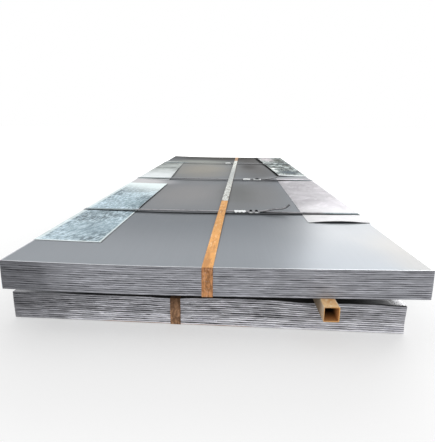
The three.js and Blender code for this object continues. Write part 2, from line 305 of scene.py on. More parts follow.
@shared("Soft Patch", "Amount", Vector=ORIGIN, Centre=ORIGIN, Size=(1, 1, 1), Ragged=0.2)
def patch(net, place, centre, size, ragged):
    """A soft oval patch, 1 in its middle and 0 outside."""
    away = net.vector("DIVIDE", net.vector("SUBTRACT", place, centre), size)
    far = net.length(away) + (net.noise(place, 5.0, 3.0) - 0.5) * ragged
    return (net.between(1.0 - far, 0.0, 0.9),)


@shared("Worn Rim", "Amount", Vector=ORIGIN, Centre=ORIGIN, Half=(1, 1, 1), Width=0.01)
def rim_highlight(net, place, centre, half, width):
    """A painted highlight band inside the edges of a rectangle in X and Y, broken up by noise."""
    away = net.vector("ABSOLUTE", net.vector("SUBTRACT", place, centre))
    x, y, _ = net.split(net.vector("SUBTRACT", away, half))
    wear_and_shading = net.noise(place, 24.0, 3.0) + 0.35
    return (net.between(net.larger(x, y) / width, -1.0, -0.3) * wear_and_shading,)


@shared("Edge Line", "Amount", Vector=ORIGIN, Start=ORIGIN, End=(0, 1, 0), Width=0.01)
def edge_line(net, place, start, end, width):
    """A thin line in X and Y that eases from one point to another one farther along Y."""
    x, y, _ = net.split(place)
    start_x, start_y, _ = net.split(start)
    end_x, end_y, _ = net.split(end)
    off = abs(x - net.between(y, start_y, end_y, start_x, end_x))
    line = net.between(off, width, width * 0.3) * net.between(y, start_y - 0.01, start_y)
    return (line * net.between(y, end_y + 0.01, end_y),)


@shared(
    "Sheared Edge", "Color Edge Height Dark",
    Vector=ORIGIN, Color=STEEL, Contrast=1.0, Last_Layer=12.0, Bright_Below=-1.0,
)
def sheared(net, place, colour, contrast, last_layer, bright_below):
    """Sheared plate edges: burnished and torn bands, dark seams of painted shade, a darker left
    end.
    """
    level, layer, rim, opened = map(net.attribute, ("level", "layer", "rim", "open"))
    x, y, z = net.split(place)

    def field(scale, slices, detail, row=layer):
        """Noise along the edges, from -0.5 to 0.5, that differs from row to row."""
        return net.noise(net.join(x * scale, y * scale, row * slices), 1.0, detail) - 0.5

    # the bright band of each edge wanders up and down, and comes and goes
    height = level + field(20.0, 3.7, 2.0) * 0.9 + field(70.0, 5.1, 1.0) * 0.6
    bright = net.between(height, 0.3, 0.5) * net.between(height, 0.95, 0.75)
    lit = net.lerp(net.between(field(16.0, 2.9, 2.0), -0.04, 0.1), 0.35, 1.3)
    contrast = contrast * net.between(abs(x + 0.1), 0.65, 0.25, 0.8, 1.25)
    own = net.get("ShaderNodeTexWhiteNoise", {"W": layer}, noise_dimensions="1D")
    tone = bright * lit * 0.55 * contrast + 0.86
    tone = tone * (field(30.0, 6.3, 2.0) * 0.55 + 1.0) * (own * 0.24 + 0.88)

    # dark seams between the plates, painted shade in the gaps, darkest where the lips are open
    seam = layer + (level > 0.5)
    off = 0.5 - abs(level - 0.5)
    line = net.between(field(15.0, 4.3, 2.0, seam), -0.04, 0.12)
    reach = net.lerp(line, 0.10, 0.33) + field(60.0, 7.7, 1.0, seam) * 0.2
    gap = net.between(off, reach, reach * 0.35)
    depth = net.larger(net.lerp(line, 0.2, 0.62), opened * 0.75)
    dark = gap * depth * net.between(rim, 0.02, 0.3)
    tone = tone * net.math("SUBTRACT", 1.0, dark * contrast, clamp=True)

    # darker towards the left end, and a darker top half of the last plate, painted shade on the
    # lower pack
    darker_left = net.between(x + field(9.0, 0.0, 2.0) * 0.2, -0.68, -0.34, 0.42, 1.0)
    last = net.between(layer, last_layer - 0.6, last_layer) * net.between(level, 0.3, 0.55)
    # low front edges brightened as painted light from the floor
    low = net.between(z, bright_below + 0.006, bright_below) * net.between(y, -1.5, -1.7)
    tone = tone * darker_left * net.lerp(last, 1.0, 0.58) * net.lerp(low, 1.0, 1.6)
    fine = field(110.0, 5.1, 3.0) + 0.5
    edge = net.between(rim, 0.05, 0.5)
    return net.tone(colour, net.larger(tone, 0.04)), edge, bright * 0.5 + fine * 0.5, dark


@shared(
    "Rust Film", "Color Roughness Height",
    Vector=ORIGIN, Main=(0.6, 0.3, 0.1, 1), Dark=(0.3, 0.14, 0.05, 1),
    Pale=(0.75, 0.5, 0.3, 1), Stretch=(1, 1, 1),
)
def rust_film(net, place, main, dark, pale, stretch):
    """Rust film: a main colour with darker and paler blooms, scuffs and fine grain."""
    place = net.stretch(place, stretch)
    bloom = net.noise(place, 14.0, 5.0, 0.62, 0.6)
    spots = net.noise(place, 95.0, 4.0, 0.65)
    grain = net.noise(place, 620.0, 2.0, 0.6)
    colour = net.mix(net.between(bloom, 0.5, 0.68), main, dark)
    colour = net.mix(net.between(spots, 0.53, 0.66) * 0.75, colour, pale)
    colour = net.mix(net.between(spots, 0.46, 0.34) * 0.7, colour, dark)
    rough = net.between(spots, 0.3, 0.7, 0.72, 0.9)
    return net.tone(colour, grain * 0.3 + 0.85), rough, spots * 0.6 + grain * 0.4


@shared(
    "Zinc Coat", "Color Roughness Height",
    Vector=ORIGIN, Light=(0.7, 0.8, 0.83, 1), Middle=(0.45, 0.55, 0.6, 1),
    Dark=(0.2, 0.28, 0.32, 1), Stroke=(50, 26, 40), Slant=0.5, Clump=7.0,
)
def zinc_coat(net, place, light, middle, dark, stroke, slant, clump_scale):
    """Zinc coat: pale and dark strokes in clumps over a middle tone, with faint crystals."""
    turn = {"Vector": place, "Angle": slant}
    turned = net.get("ShaderNodeVectorRotate", turn, rotation_type="Z_AXIS")
    drawn = net.noise(net.stretch(turned, stroke), 1.0, 4.0, 0.66, 0.6)
    clump = net.between(net.noise(place, clump_scale, 2.0), 0.40, 0.62)
    crystals = {"Vector": place, "Scale": 90.0}
    facet = net.split(net.get("ShaderNodeTexVoronoi", crystals, "Color", feature="F1"))[0]
    strokes = net.between(drawn, 0.47, 0.64) * net.lerp(clump, 1.0, 0.65)
    hollows = net.between(drawn, 0.54, 0.37) * net.lerp(clump, 0.5, 1.0)
    middle = net.tone(middle, net.lerp(clump, 1.15, 0.62))
    colour = net.mix(hollows, net.mix(strokes, middle, light), dark)
    colour = net.tone(colour, net.between(facet, 0.0, 1.0, 0.95, 1.05))
    return colour, net.between(facet, 0.0, 1.0, 0.3, 0.45), drawn * 0.7 + facet * 0.3


@shared("Flecks", "Amount", Vector=ORIGIN, Scale=60.0, Share=0.3)
def flecks(net, place, scale, share):
    """Small flecks over about a share of the surface."""
    edge = 0.72 - share * 0.45
    return (net.between(net.noise(place, scale, 3.0, 0.7), edge, edge + 0.08),)


# ---- sizes and colours ----


def colour_prop(name, description, default):
    return FloatVectorProperty(
        name=name, description=description, default=default,
        size=3, subtype="COLOR", min=0, max=1,
    )


def length_prop(name, description, default):
    return FloatProperty(name=name, description=description, default=default, unit="LENGTH")


def angle_prop(name, description, degrees):
    return FloatProperty(
        name=name, description=description, default=math.radians(degrees), subtype="ANGLE"
    )


def power_prop(name, description, watts):
    return FloatProperty(name=name, description=description, default=watts, unit="POWER")


class PlateSizes(bpy.types.PropertyGroup):
    thick: length_prop("Thickness", "Thickness of one plate", 0.00635)
    sag: length_prop("Sag", "Lowest point of the upper plates below their left edge", 0.0104)
    sag_right: length_prop("Right Edge Drop", "Right edge below the left edge", 0.0079)
    flat_from: length_prop("Flat From", "Start of the flat middle, from the left edge", 0.512)
    flat_to: length_prop("Flat To", "End of the flat middle, from the left edge", 0.756)
    lip: length_prop("Arris", "Rounding of a closed plate edge", 0.00035)
    open_high: length_prop("Gap Height", "Most that an open lip adds to the arris", 0.0008)
    open_deep: length_prop("Gap Depth", "How far an open lip reaches in", 0.008)
    lift: length_prop("Front Lift", "Spread of the lower pack at its front", 0.0023)
    swell: length_prop("Swell", "Extra spread beside the lower strap", 0.0048)
    turn: angle_prop("Lower Turn", "How far the lower pack is turned", -2.38)
    columns: IntProperty(name="Columns", description="Vertices across a plate", default=97, min=9)
    rows: IntProperty(name="Rows", description="Vertices along a plate", default=49, min=9)
    seed: FloatProperty(name="Seed", description="Start of the gap pattern", default=3.0)
    upper_top: colour_prop("Upper Top", "Top of the upper pack", (0.142, 0.157, 0.174))
    upper_edge: colour_prop("Upper Edges", "Sheared edges, upper pack", (0.40, 0.405, 0.44))
    # the top of the lower pack is painted dark as shade in the gap between the packs
    lower_top_shade: colour_prop("Lower Top", "Top of the lower pack", (0.07, 0.068, 0.066))
    # lighter than the upper edges, partly as painted light against the upper pack's shade
    lower_edge: colour_prop("Lower Edges", "Sheared edges, lower pack", (0.50, 0.50, 0.535))
    metal: FloatProperty(name="Metal", description="How metallic the top is", default=0.45)
    metal_low: FloatProperty(name="Lower Metal", description="The same, lower pack", default=0.1)


class CoverColours(bpy.types.PropertyGroup):
    blue: colour_prop("Blue Zinc", "Left front cover", (0.325, 0.42, 0.47))
    dull: colour_prop("Dull Zinc", "Left rear cover", (0.31, 0.333, 0.323))
    plain: colour_prop("Plain Zinc", "Right front cover", (0.49, 0.475, 0.50))
    dark: colour_prop("Dark Zinc", "Right rear cover", (0.215, 0.24, 0.235))


class StrapColours(bpy.types.PropertyGroup):
    rust: colour_prop("Rust", "Upper long strap", (0.75, 0.38, 0.13))
    dark_rust: colour_prop("Dark Rust", "Lower long strap", (0.44, 0.25, 0.145))
    zinc: colour_prop("Zinc", "Zinc coated length", (0.62, 0.64, 0.61))
    # the lit back of the cross straps: a painted highlight with some wear
    wear_and_shading: colour_prop("Worn", "Back edge of the cross straps", (0.27, 0.265, 0.275))
    black: colour_prop("Black", "Cross straps", (0.038, 0.044, 0.047))


class SealSizes(bpy.types.PropertyGroup):
    wall: length_prop("Wall", "Sheet thickness of a seal", 0.001)
    notch: length_prop("Notch", "Depth of the crimps in a seal's edges", 0.004)
    arch: length_prop("Arch", "How high an open seal is bowed up", 0.0045)
    colour: colour_prop("Zinc", "Seals", (0.90, 0.92, 0.92))


class TubeColours(bpy.types.PropertyGroup):
    rust: colour_prop("Rust", "Tubes outside", (1.0, 0.66, 0.33))
    dark: colour_prop("Dark Rust", "Darker blooms", (0.80, 0.42, 0.16))
    wall: length_prop("Wall", "Wall of the tube", 0.003)


class StageValues(bpy.types.PropertyGroup):
    camera_place: FloatVectorProperty(
        name="Camera", description="Camera place", default=(0.00618, -2.91104, 0.61809),
        size=3, subtype="TRANSLATION",
    )
    pitch: angle_prop("Pitch", "Camera below level", 13.830)
    yaw: angle_prop("Yaw", "Camera turn to the left", 1.916)
    roll: angle_prop("Roll", "Camera roll", 0.384)
    lens: FloatProperty(name="Lens", description="Focal length in mm", default=32.61)
    ambient: FloatProperty(name="Ambient", description="Light of the room", default=0.45)
    key: power_prop("Key", "Overhead light", 135.0)
    panel: power_prop("Panel", "Back right panel", 300.0)
    band: power_prop("Band", "Back left panel", 165.0)
    fill: power_prop("Fill", "Front light", 64.0)
    floor: colour_prop("Floor", "Floor", (0.5, 0.5, 0.5))


GROUPS = {
    "stack_plates": PlateSizes,
    "stack_covers": CoverColours,
    "stack_straps": StrapColours,
    "stack_seals": SealSizes,
    "stack_tubes": TubeColours,
    "stack_stage": StageValues,
}


# ---- plates ----


@shared(
    "Rolled Plate", "Geometry", "GeometryNodeTree",
    Width=1.2, Length=3.6, Thickness=0.006, Columns=61, Rows=61, Sag=0.0, Right_Drop=0.0,
    Flat_From=0.5, Flat_To=0.7, Arris=0.0003, Gap_Height=0.001, Gap_Depth=0.008,
    Open_Above=1.0, Open_Below=1.0, Lift=0.0, Swell=0.0, Layer=0.0, Seed=0.0,
    Place=ORIGIN, Turn=0.0, Finish=None,
)
def rolled_plate(
    net, width, length, thickness, columns, rows, sag, right_drop, flat_from, flat_to,
    arris, gap_height, gap_depth, open_above, open_below, lift, swell, layer, seed,
    place, turn, finish,
):
    """One plate: a box whose section follows the sag and whose lips open here and there."""
    sizes = {"Size": (1, 1, 1), "Vertices X": columns, "Vertices Y": rows, "Vertices Z": 5}
    shape = net.get("GeometryNodeMeshCube", sizes)
    across, along, up = net.split(net.get("GeometryNodeInputPosition"))
    x, y = across * width, along * length
    at_side, at_end = abs(across) > RIM, abs(along) > RIM
    rim = net.larger(at_side, at_end)

    # of the five rows up an edge, the outer two are on the faces and the next two at the lips
    outer = abs(up) > 0.4
    inner = (abs(up) > 0.1) * (1.0 - outer)
    above = up > 0.1
    spot = net.join(x * 12.0, y * 3.0, (layer + above) * 7.31 + seed)
    opened = net.between(net.noise(spot, 1.0, 1.0), 0.48, 0.62)
    opened = opened * net.lerp(above, open_below, open_above) * (1.0 - at_side * at_end)
    lip_high = arris + opened * gap_height
    lip_deep = arris + opened * gap_depth
    half = thickness * 0.5
    local = (outer * half + inner * (half - lip_high)) * net.math("SIGN", up)
    new_x = x - net.math("SIGN", across) * at_side * outer * lip_deep
    new_y = y - net.math("SIGN", along) * at_end * outer * lip_deep

    # the sag: flat in the middle, rising to the left edge and less far to the right one
    from_left = new_x + width * 0.5
    rises = []
    for inwards, slope in ((from_left, flat_from), (width - from_left, width - flat_to)):
        share = net.math("DIVIDE", inwards, slope, clamp=True)
        left_over = net.math("SUBTRACT", 1.0, share, clamp=True)
        rises.append(net.math("POWER", left_over, SAG_POWER))
    drop = sag - rises[0] * sag - rises[1] * (sag - right_drop)

    # the spread of the front end: held down at the strap, more in the swells beside it
    spread = lift * net.between(abs(x - HELD_AT), 0.022, 0.06)
    for middle, reach, share in SWELLS:
        spread += net.between(abs(x - middle), reach, 0.3 * reach) * share * swell
    spread = spread * net.between(y + length * 0.5, 0.45, 0.04)
    moved = net.join(new_x, new_y, local + half - drop + spread)

    for name, value in (
        ("level", local / thickness + 0.5),
        ("rim", rim * (1.0 - outer)),
        ("open", opened * rim),
        ("layer", layer + seed),
    ):
        store = net.add(
            "GeometryNodeStoreNamedAttribute",
            {"Geometry": shape, "Name": name},
            data_type="FLOAT",
            domain="POINT",
        )
        net.feed(next(s for s in store.inputs if s.name == "Value" and s.enabled), value)
        shape = Value(net, store.outputs[0])
    for kind, values in (
        ("SetPosition", {"Position": moved}),
        ("Transform", {"Translation": place, "Rotation": net.join(0.0, 0.0, turn)}),
        ("RealizeInstances", {}),
        ("SetMaterial", {"Material": finish}),
    ):
        shape = net.get("GeometryNode" + kind, {"Geometry": shape, **values})
    return (shape,)


def linked(thing):
    bpy.context.scene.collection.objects.link(thing)
    return thing


def grow(tree, name, **values):
    """Runs a geometry tree and gives a plain mesh object; underscores stand for spaces."""
    host = linked(bpy.data.objects.new(name + "_host", bpy.data.meshes.new(name + "_host")))
    modifier = host.modifiers.new("Nodes", "NODES")
    modifier.node_group = tree
    for item in tree.interface.items_tree:
        key = item.name.replace(" ", "_")
        if item.item_type == "SOCKET" and item.in_out == "INPUT" and key in values:
            modifier[item.identifier] = values[key]
    graph = bpy.context.evaluated_depsgraph_get()
    mesh = bpy.data.meshes.new_from_object(
        host.evaluated_get(graph), preserve_all_data_layers=True, depsgraph=graph
    )
    mesh.name = name
    bpy.data.objects.remove(host)
    return linked(bpy.data.objects.new(name, mesh))


def through(rows, height=TOP):
    """Patches that reach down through the stack, from rows of x, y, width, length, ..."""
    return [((x, y, height), (wide, long, DEEP), *rest) for x, y, wide, long, *rest in rows]


def lay_patches(net, tint, patches, shine=None):
    """Lays patches over a colour and a metal value, and gives both.

    Patches are (centre, size, ragged, colour, share), and on plates also their metal value.
    """
    for centre, size, ragged, colour, share, *metal in patches:
        amount = net.use(patch, Centre=centre, Size=size, Ragged=ragged)[0] * share
        tint = net.mix(amount, tint, colour)
        if metal:
            shine = net.lerp(amount, shine, metal[0])
    return tint, shine


def draw_shade_and_highlight_lines(net, tint, shade_and_highlight_lines):
    """Lays thin painted shadows and highlights; lines are (start, end, width, colour, share)."""
    for start, end, width, colour, share in shade_and_highlight_lines:
        line = net.use(edge_line, Start=(*start, 0), End=(*end, 0), Width=width)[0]
        tint = net.mix(line * share, tint, colour)
    return tint


def plate_material(
    name, top, edge_colour, edge, metal, dull, patches, shade_and_highlight_lines=(), rim=None, rusty=False
):
    """Mill finish with sheared edges.

    Its metal value falls to half between the two Ys in dull. The inputs of the sheared edges
    are in edge, rim is the middle and half size of a painted highlight along the rim, and
    shade_and_highlight_lines are as in draw_shade_and_highlight_lines.
    """

    def build(net):
        x, y, z = net.split(net.place)
        shine = net.between(y, *dull, metal, metal * 0.5)
        tint, shine = lay_patches(net, top, patches, shine)
        # a painted highlight along the rim of the top face
        if rim:
            wear_and_shading = net.use(rim_highlight, Centre=rim[0], Half=rim[1], Width=0.0065)[0]
            tint = net.mix(wear_and_shading, tint, (0.46, 0.47, 0.49))
        tint = draw_shade_and_highlight_lines(net, tint, shade_and_highlight_lines)
        tint, rough, grain = net.use(mill, Color=tint, Cloud=0.3, Streak=0.08)
        cut, side, bands, dark = net.use(sheared, Color=edge_colour, **edge)
        if rusty:
            # along the lowest edge, left of the middle
            rust = net.between(z, 0.006, 0.003) * net.between(abs(x + 0.16), 0.26, 0.2)
            cut = net.mix(rust * 0.75, cut, (0.5, 0.22, 0.07))
        shine = net.lerp(net.between(dark, 0.0, 0.5), net.lerp(side, shine, 0.3), 0.0)
        rough = rough + side * 0.15 + 0.31
        return net.mix(side, tint, cut), rough, grain + bands * side, PLATE_BUMP, shine

    return finish_material(name, build)


def build_pack(nodes, sizes, finish, seed, lift=0.0, swell=0.0, **own):
    """Grows a pack's plates; lift and swell grow from nothing at its bottom to all at its top."""
    low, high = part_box(UPPER[0])
    width, length, _ = high - low
    for index, node in enumerate(nodes):
        low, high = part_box(node)
        middle = (low + high) / 2
        share = index / (PLATES - 1)
        values = dict(
            Width=width, Length=length, Thickness=sizes.thick,
            Columns=sizes.columns, Rows=sizes.rows,
            Flat_From=sizes.flat_from, Flat_To=sizes.flat_to, Arris=sizes.lip,
            Gap_Height=sizes.open_high, Gap_Depth=sizes.open_deep,
            Open_Above=float(index < PLATES - 1), Open_Below=float(index > 0),
            Lift=lift * share, Swell=swell * share, Layer=float(index), Seed=seed,
            Place=Vector((middle.x, middle.y, high.z - sizes.thick)), Finish=finish,
        )
        piece = grow(rolled_plate, node + "_rolled", **{**values, **own})
        piece.data.shade_flat()
        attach(piece, "root")
        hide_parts(node)


class STACK_OT_upper_pack(bpy.types.Operator):
    """Builds the sagged plates of the upper pack"""

    bl_idname = "stack.upper_pack"
    bl_label = "Upper Pack"

    def execute(self, context):
        sizes = context.scene.stack_plates
        low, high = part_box(UPPER[-1])

        # the tones are partly the plate's own film and partly painted reflection, darker to the
        # back
        # x, y, width, length, raggedness, colour, share and metal value
        patches = (
            (-0.24, 0.54, 0.44, 0.85, 0.3, (0.225, 0.215, 0.187), 0.95, 0.24),
            (0.50, -1.42, 0.46, 0.46, 0.2, (0.15, 0.16, 0.17), 0.9, 0.46),
            (0.60, -1.66, 0.20, 0.40, 0.9, (0.162, 0.158, 0.150), 0.9, 0.46),
            (-0.24, -0.66, 0.44, 0.75, 0.3, (0.196, 0.194, 0.194), 0.85, 0.24),
            (0.14, -0.66, 0.30, 0.75, 0.3, (0.150, 0.151, 0.152), 0.8, 0.2),
            (0.05, -0.62, 0.15, 0.60, 0.3, (0.098, 0.103, 0.101), 0.7, 0.2),
            (0.22, 0.75, 0.32, 1.40, 0.3, (0.112, 0.110, 0.108), 0.9, 0.13),
            (0.17, 0.78, 0.12, 0.30, 0.3, (0.062, 0.060, 0.060), 0.7, 0.1),
            (0.0, 1.85, 1.5, 1.05, 0.3, (0.070, 0.066, 0.061), 1.0, 0.04),
            (-0.30, 1.17, 0.44, 0.36, 0.3, (0.26, 0.272, 0.245), 0.8, 0.2),
            (-0.64, -0.25, 0.36, 0.24, 0.3, (0.47, 0.465, 0.475), 1.3, 0.3),
            (0.47, 0.03, 0.28, 0.16, 0.2, (0.235, 0.245, 0.255), 0.9, 0.3),
            # painted shadow: a dark line on the plate in front of the first cross strap
            (-0.04, -1.168, 0.9, 0.022, 0.1, (0.03, 0.03, 0.032), 0.95, 0.0),
        )
        # painted shadows on the plate beside the raised inner edges of the covers
        shade_and_highlight_lines = (
            ((-0.424, -1.645), (-0.406, -0.345), 0.006, (0.04, 0.045, 0.045), 0.8),
            ((-0.424, -0.145), (-0.466, 1.14), 0.013, (0.05, 0.055, 0.055), 0.8),
            ((0.362, 0.13), (0.286, 1.70), 0.024, (0.006, 0.006, 0.006), 1.0),
        )
        finish = plate_material(
            "upper_plate_steel", sizes.upper_top, sizes.upper_edge,
            {"Contrast": 0.55, "Last_Layer": sizes.seed + PLATES - 1},
            sizes.metal, (-1.85, -1.25), through(patches), shade_and_highlight_lines,
            # painted highlight along the top plate's rim
            rim=((low + high) / 2, (high - low) / 2),
        )
        build_pack(UPPER, sizes, finish, sizes.seed, Sag=sizes.sag, Right_Drop=sizes.sag_right)
        return {"FINISHED"}


class STACK_OT_lower_pack(bpy.types.Operator):
    """Builds the flat, turned plates of the lower pack"""

    bl_idname = "stack.lower_pack"
    bl_label = "Lower Pack"

    def execute(self, context):
        sizes = context.scene.stack_plates
        seed = sizes.seed + LOWER_SEED
        # painted light at both ends of the gap, and a painted shadow line along the right front
        # edge
        patches = (
            (0.60, -1.66, 0.24, 0.45, 0.2, (0.92, 0.92, 0.94), 1.0, 0.3),
            (-0.62, -1.66, 0.20, 0.50, 0.2, (0.55, 0.55, 0.57), 1.0, 0.0),
            (0.47, -1.7975, 0.14, 0.009, 0.05, (0.02, 0.02, 0.02), 1.6, 0.0),
        )
        finish = plate_material(
            "lower_plate_steel", sizes.lower_top_shade, sizes.lower_edge,
            {"Contrast": 1.15, "Last_Layer": seed + PLATES - 1, "Bright_Below": 0.031},
            sizes.metal_low, (-1.35, -0.2), through(patches, LOWER_TOP), rusty=True,
        )
        build_pack(
            LOWER, sizes, finish, seed, sizes.lift, sizes.swell,
            Gap_Height=sizes.open_high * LOWER_GAPS, Turn=sizes.turn,
        )
        return {"FINISHED"}


# ---- covers, straps and tubes ----


def dress(node, material):
    """Gives a carried-over CAD piece its material."""
    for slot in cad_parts[node].material_slots:
        slot.material = material


def facing_up(net):
    """1 on faces that look up and 0 on sides and undersides."""
    return net.between(net.normal()[2], 0.4, 0.9)


def facing(net, axis):
    """1 on faces square to X (0) or Y (1) and 0 on others."""
    return net.between(abs(net.normal()[axis]), 0.4, 0.9)


def shades(colour, light, dark):
    """A lighter, the plain and a darker tone of one colour."""
    return tuple(tuple(min(1.0, v * k) for v in colour) for k in (light, 1.0, dark))


def zinc_finish(name, tones, stroke, slant, clump, patches, shade_and_highlight_lines=()):
    """Zinc coated sheet in light, middle and dark tones, with painted highlights where it turns
    down.
    """

    def build(net):
        light, middle, dark = tones
        tint, rough, height = net.use(
            zinc_coat, Light=light, Middle=middle, Dark=dark,
            Stroke=stroke, Slant=slant, Clump=clump,
        )
        tint, _ = lay_patches(net, tint, patches)
        tint = draw_shade_and_highlight_lines(net, tint, shade_and_highlight_lines)
        # painted highlight on faces that don't look up: the edges and turned-down sides
        tint = net.mix(net.lerp(facing_up(net), 0.8, 0.0), tint, (0.85, 0.88, 0.88))
        return tint, rough, height, ZINC_BUMP

    return finish_material(name, build, metallic=0.15)


class STACK_OT_covers(bpy.types.Operator):
    """Finishes the sheet metal edge covers"""

    bl_idname = "stack.covers"
    bl_label = "Edge Covers"

    def execute(self, context):
        c = context.scene.stack_covers
        pale, white = (0.75, 0.83, 0.83), (0.85, 0.88, 0.86)
        blue = ((0.64, 0.76, 0.83), *shades(c.blue, 1.0, 0.36)[1:])

        # coat is tones, stroke, slant and clump; a patch is x, y, width, length, raggedness,
        # colour and share
        for node, name, coat, patches, shade_and_highlight_lines in (
            (
                "cover_left_front", "blue_zinc", (blue, (138, 33, 40), 0.25, 5.5),
                (
                    (-0.36, -0.34, 0.44, 0.56, 0.25, pale, 1.0),
                    (-0.58, -0.34, 0.30, 0.26, 0.2, pale, 1.0),
                    (-0.49, -1.47, 0.17, 0.15, 0.8, (0.20, 0.27, 0.31), 0.5),
                    (-0.38, -1.21, 0.13, 0.07, 0.8, (0.18, 0.25, 0.29), 0.5),
                    (-0.42, -1.00, 0.16, 0.20, 0.8, (0.17, 0.25, 0.28), 0.5),
                    # painted highlight along the cover's front edge
                    (-0.54, -1.65, 0.3, 0.014, 0.05, pale, 1.2),
                ),
                (
                    # painted highlights along the cover's inner and outer edges
                    ((-0.429, -1.645), (-0.423, -1.19), 0.0045, pale, 0.7),
                    ((-0.645, -1.645), (-0.645, -0.345), 0.016, pale, 0.7),
                ),
            ),
            (
                "cover_left_rear", "dull_zinc",
                (shades(c.dull, 1.25, 0.7), (24, 10, 24), 0.3, 5.0),
                ((-0.55, 0.0, 0.4, 0.62, 0.3, (0.70, 0.74, 0.75), 0.9),), (),
            ),
            (
                "cover_right_front", "plain_zinc",
                (shades(c.plain, 1.1, 0.82), (10, 5, 10), 0.2, 3.0),
                ((0.45, -1.25, 0.5, 0.35, 0.2, (0.63, 0.63, 0.635), 0.8),), (),
            ),
            (
                "cover_right_rear", "dark_zinc",
                (shades(c.dark, 2.2, 0.18), (34, 7, 18), 0.15, 5.0),
                (
                    (0.38, 1.50, 0.14, 0.40, 0.2, (0.50, 0.465, 0.48), 0.8),
                    (0.50, 1.42, 0.09, 0.30, 0.2, (0.06, 0.065, 0.055), 0.9),
                    (0.52, 0.91, 0.06, 0.18, 0.2, (0.08, 0.085, 0.075), 0.8),
                    (0.47, 0.35, 0.13, 0.20, 0.2, (0.07, 0.09, 0.105), 0.95),
                    (0.37, 0.60, 0.04, 0.08, 0.2, white, 0.9),
                    (0.375, 0.41, 0.035, 0.07, 0.2, white, 0.9),
                    # painted highlight along the cover's front edge
                    (0.46, 0.13, 0.5, 0.09, 0.1, (0.78, 0.82, 0.82), 0.9),
                ),
                (),
            ),
        ):
            dress(node, zinc_finish(name, *coat, through(patches), shade_and_highlight_lines))
        return {"FINISHED"}


def rust_finish(name, tones, wear_and_shade, stretch=(1, 1, 1), gloss=0.1, smooth_top=0.0):
    """Rusty steel in pale, main and dark tones; wear_and_shade(net, tint) gives its colour with
    wear and painted shade.
    """

    def build(net):
        pale, main, dark = tones
        tint, rough, height = net.use(
            rust_film, Main=main, Dark=dark, Pale=pale, Stretch=stretch
        )
        return wear_and_shade(net, tint), rough - facing_up(net) * smooth_top, height, RUST_BUMP

    return finish_material(name, build, gloss=gloss)


def blotched(net, tint, shade):
    """Multiplies the faces square to Y by a blotched colour, which below white is painted shade.
    """
    blot = net.noise(net.stretch(net.place, (1.6, 1.0, 0.6)), 95.0, 3.0, 0.6)
    wear_and_shading = net.tone(shade, net.between(blot, 0.36, 0.64, 0.66, 1.34))
    return net.mix(facing(net, 1), tint, net.mix(1.0, tint, wear_and_shading, "MULTIPLY"))


def upper_strap_wear_and_shade(net, tint):
    """Greyer at the back, brighter at the front, blotched and painted in shade where it hangs
    down.
    """
    y = net.split(net.place)[1]
    tint = net.mix(net.between(y, 0.7, 1.2) * 0.7, tint, (0.29, 0.225, 0.18))
    tint = net.tone(tint, net.between(y, -1.62, -1.38, 1.16, 0.92))
    return blotched(net, tint, (0.67, 0.63, 0.80))


def lower_strap_wear_and_shade(net, tint):
    """Darker towards the top, where the upper pack shades it, and blotched."""
    z = net.split(net.place)[2]
    # painted shade towards the top
    return blotched(net, net.tone(tint, net.between(z, 0.05, 0.085, 1.0, 0.4)), (1, 1, 1))


def tube_wear_and_shade(middle, inside, end):
    """Wear, painted light and shade of a tube along Y: dull sides, two-toned end faces, an orange
    bore.
    """

    def wear_and_shade(net, tint):
        x, y, z = (value - at for value, at in zip(net.split(net.place), middle))
        along, up, square = abs(y), facing_up(net), facing(net, 1)
        bore = net.between(net.larger(abs(x), abs(z)), inside, inside - 0.0004)

        # dull sides, painted darker as shade under the pack and lighter at the ends as painted
        # light
        dull = net.mix(0.5, net.tone(tint, 0.7), (0.52, 0.46, 0.40))
        dull = net.tone(dull, net.between(along, end - 0.06, end, 0.6, 1.6))
        tint = net.mix(facing(net, 0) * (1.0 - bore), tint, dull)

        # the bore is orange at its ends and painted dark inside, as shade deeper in
        orange = net.mix(0.75, tint, (0.90, 0.42, 0.13))
        orange = net.tone(orange, net.between(along, end - 0.07, end - 0.003, 0.03, 0.9))

        # an end face turns from grey to orange across its width and is painted darker as shade
        lip = net.mix(net.between(x, -0.014, 0.014), (0.62, 0.50, 0.36), (1.0, 0.54, 0.18))
        tint = net.tone(net.mix(square * 0.7, tint, lip), net.lerp(square, 1.0, 0.75))

        # a painted highlight along the right of the top, and a darker floor in the bore
        ridge_highlight = net.between(x, 0.0165, 0.0215) * up
        tint = net.mix(ridge_highlight * 0.6, tint, (1.0, 0.84, 0.72))
        return net.mix(bore, tint, net.tone(orange, net.lerp(up, 1.08, 0.7)))

    return wear_and_shade


def flecked_finish(name, base, fleck, scale, share, metallic, patches):
    """Coated steel with flecks of another colour."""

    def build(net):
        tint, rough, height = net.use(mill, Color=base, Cloud=0.3, Streak=0.1)
        tint = net.mix(net.use(flecks, Scale=scale, Share=share)[0], tint, fleck)
        tint, _ = lay_patches(net, tint, patches)
        return tint, rough + 0.4, height, STRAP_BUMP

    return finish_material(name, build, metallic=metallic)


